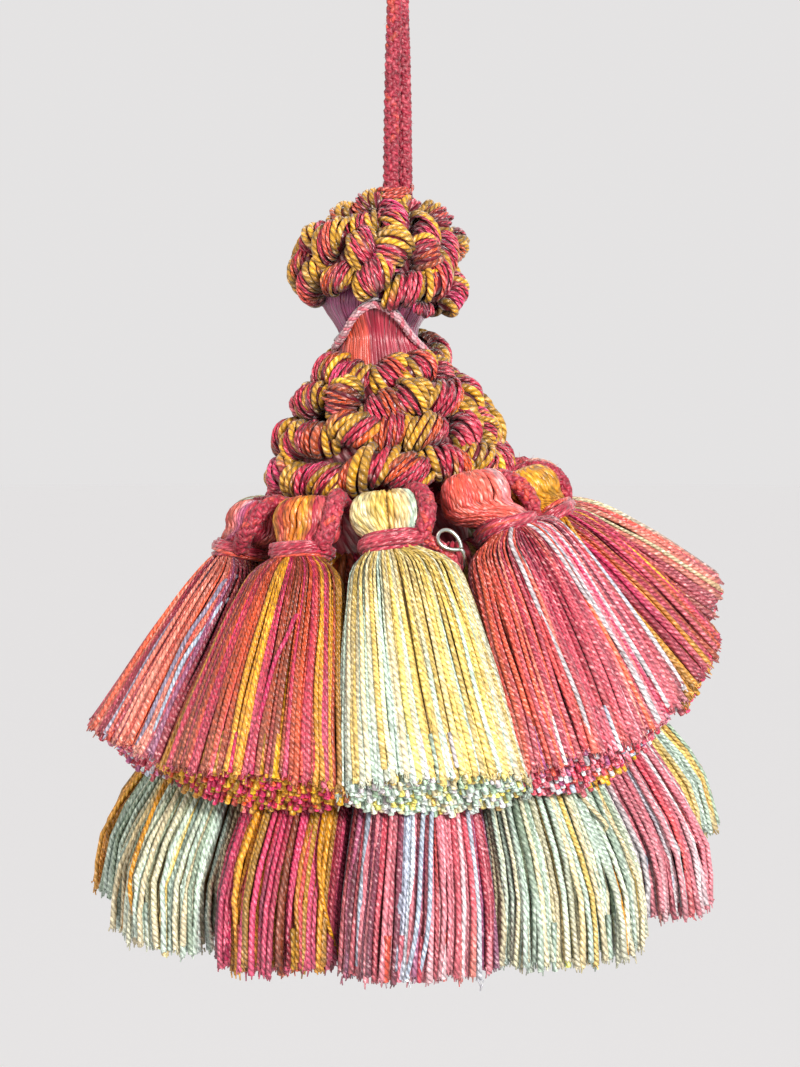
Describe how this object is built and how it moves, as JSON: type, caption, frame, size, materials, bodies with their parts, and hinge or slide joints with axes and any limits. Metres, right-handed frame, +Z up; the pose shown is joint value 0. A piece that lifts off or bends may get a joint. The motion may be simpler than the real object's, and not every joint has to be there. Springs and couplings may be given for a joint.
{
  "type": "cluster key tassel",
  "caption": "Hanging key tassel: a looped cord, two looped gimp ruffs on a wound neck, and two tiers of mini tassels in coral, gold and sage yarn.",
  "frame": {"origin": "inside of the top of the hanging loop, where a hook or key bow carries it", "axes": "+Z up along the hanging cord, -Y towards the front, +X to the right seen from the front"},
  "size_m": [0.0881, 0.0884, 0.1441],
  "materials": {
    "hanger_cord": "knitted matte rayon cord, crimson to dusty rose",
    "neck_floss": "satin floss wound round the mould, mauve and crimson",
    "tie_cord": "twisted pink cord with a silvery strand",
    "gimp": "two-ply twisted rayon, space-dyed mustard, magenta and rust",
    "binding_yarn": "shiny crimson and rose binding wraps",
    "wire": "plain silvery wire",
    "yarn_coral_rose": "twisted rayon yarn, coral, rose and plum with pale blue strands",
    "yarn_gold_rust": "twisted rayon yarn, amber gold, rust and magenta",
    "yarn_butter_sage": "twisted rayon yarn, butter yellow, cream and sage green"
  },
  "bodies": {
    "root": {"hanging_cord": "hanger_cord", "lower_tassel_01_binding": "binding_yarn", "lower_tassel_01_bundle": "yarn_butter_sage", "lower_tassel_02_binding": "binding_yarn", "lower_tassel_02_bundle": "yarn_gold_rust", "lower_tassel_03_binding": "binding_yarn", "lower_tassel_03_bundle": "yarn_coral_rose", "lower_tassel_04_binding": "binding_yarn", "lower_tassel_04_bundle": "yarn_butter_sage", "lower_tassel_05_binding": "binding_yarn", "lower_tassel_05_bundle": "yarn_coral_rose", "lower_tassel_06_binding": "binding_yarn", "lower_tassel_06_bundle": "yarn_gold_rust", "lower_tassel_07_binding": "binding_yarn", "lower_tassel_07_bundle": "yarn_butter_sage", "lower_tassel_08_binding": "binding_yarn", "lower_tassel_08_bundle": "yarn_coral_rose", "lower_tassel_09_binding": "binding_yarn", "lower_tassel_09_bundle": "yarn_gold_rust", "lower_tassel_10_binding": "binding_yarn", "lower_tassel_10_bundle": "yarn_coral_rose", "neck_tie": "tie_cord", "skirt_ruff_lower_row": "gimp", "skirt_ruff_upper_row": "gimp", "top_ruff_lower_row": "gimp", "top_ruff_upper_row": "gimp", "upper_tassel_01_binding": "binding_yarn", "upper_tassel_01_bundle": "yarn_coral_rose", "upper_tassel_01_hanger": "hanger_cord", "upper_tassel_02_binding": "binding_yarn", "upper_tassel_02_bundle": "yarn_gold_rust", "upper_tassel_02_hanger": "hanger_cord", "upper_tassel_03_binding": "binding_yarn", "upper_tassel_03_bundle": "yarn_butter_sage", "upper_tassel_03_hanger": "hanger_cord", "upper_tassel_04_binding": "binding_yarn", "upper_tassel_04_bundle": "yarn_coral_rose", "upper_tassel_04_hanger": "hanger_cord", "upper_tassel_05_binding": "binding_yarn", "upper_tassel_05_bundle": "yarn_gold_rust", "upper_tassel_05_hanger": "hanger_cord", "upper_tassel_06_binding": "binding_yarn", "upper_tassel_06_bundle": "yarn_coral_rose", "upper_tassel_06_hanger": "hanger_cord", "upper_tassel_07_binding": "binding_yarn", "upper_tassel_07_bundle": "yarn_butter_sage", "upper_tassel_07_hanger": "hanger_cord", "upper_tassel_08_binding": "binding_yarn", "upper_tassel_08_bundle": "yarn_coral_rose", "upper_tassel_08_hanger": "hanger_cord", "upper_tassel_09_binding": "binding_yarn", "upper_tassel_09_bundle": "yarn_gold_rust", "upper_tassel_09_hanger": "hanger_cord", "upper_tassel_10_binding": "binding_yarn", "upper_tassel_10_bundle": "yarn_butter_sage", "upper_tassel_10_hanger": "hanger_cord", "wire_eye": "wire", "wrapped_mould": "neck_floss"}
  },
  "joints": []
}
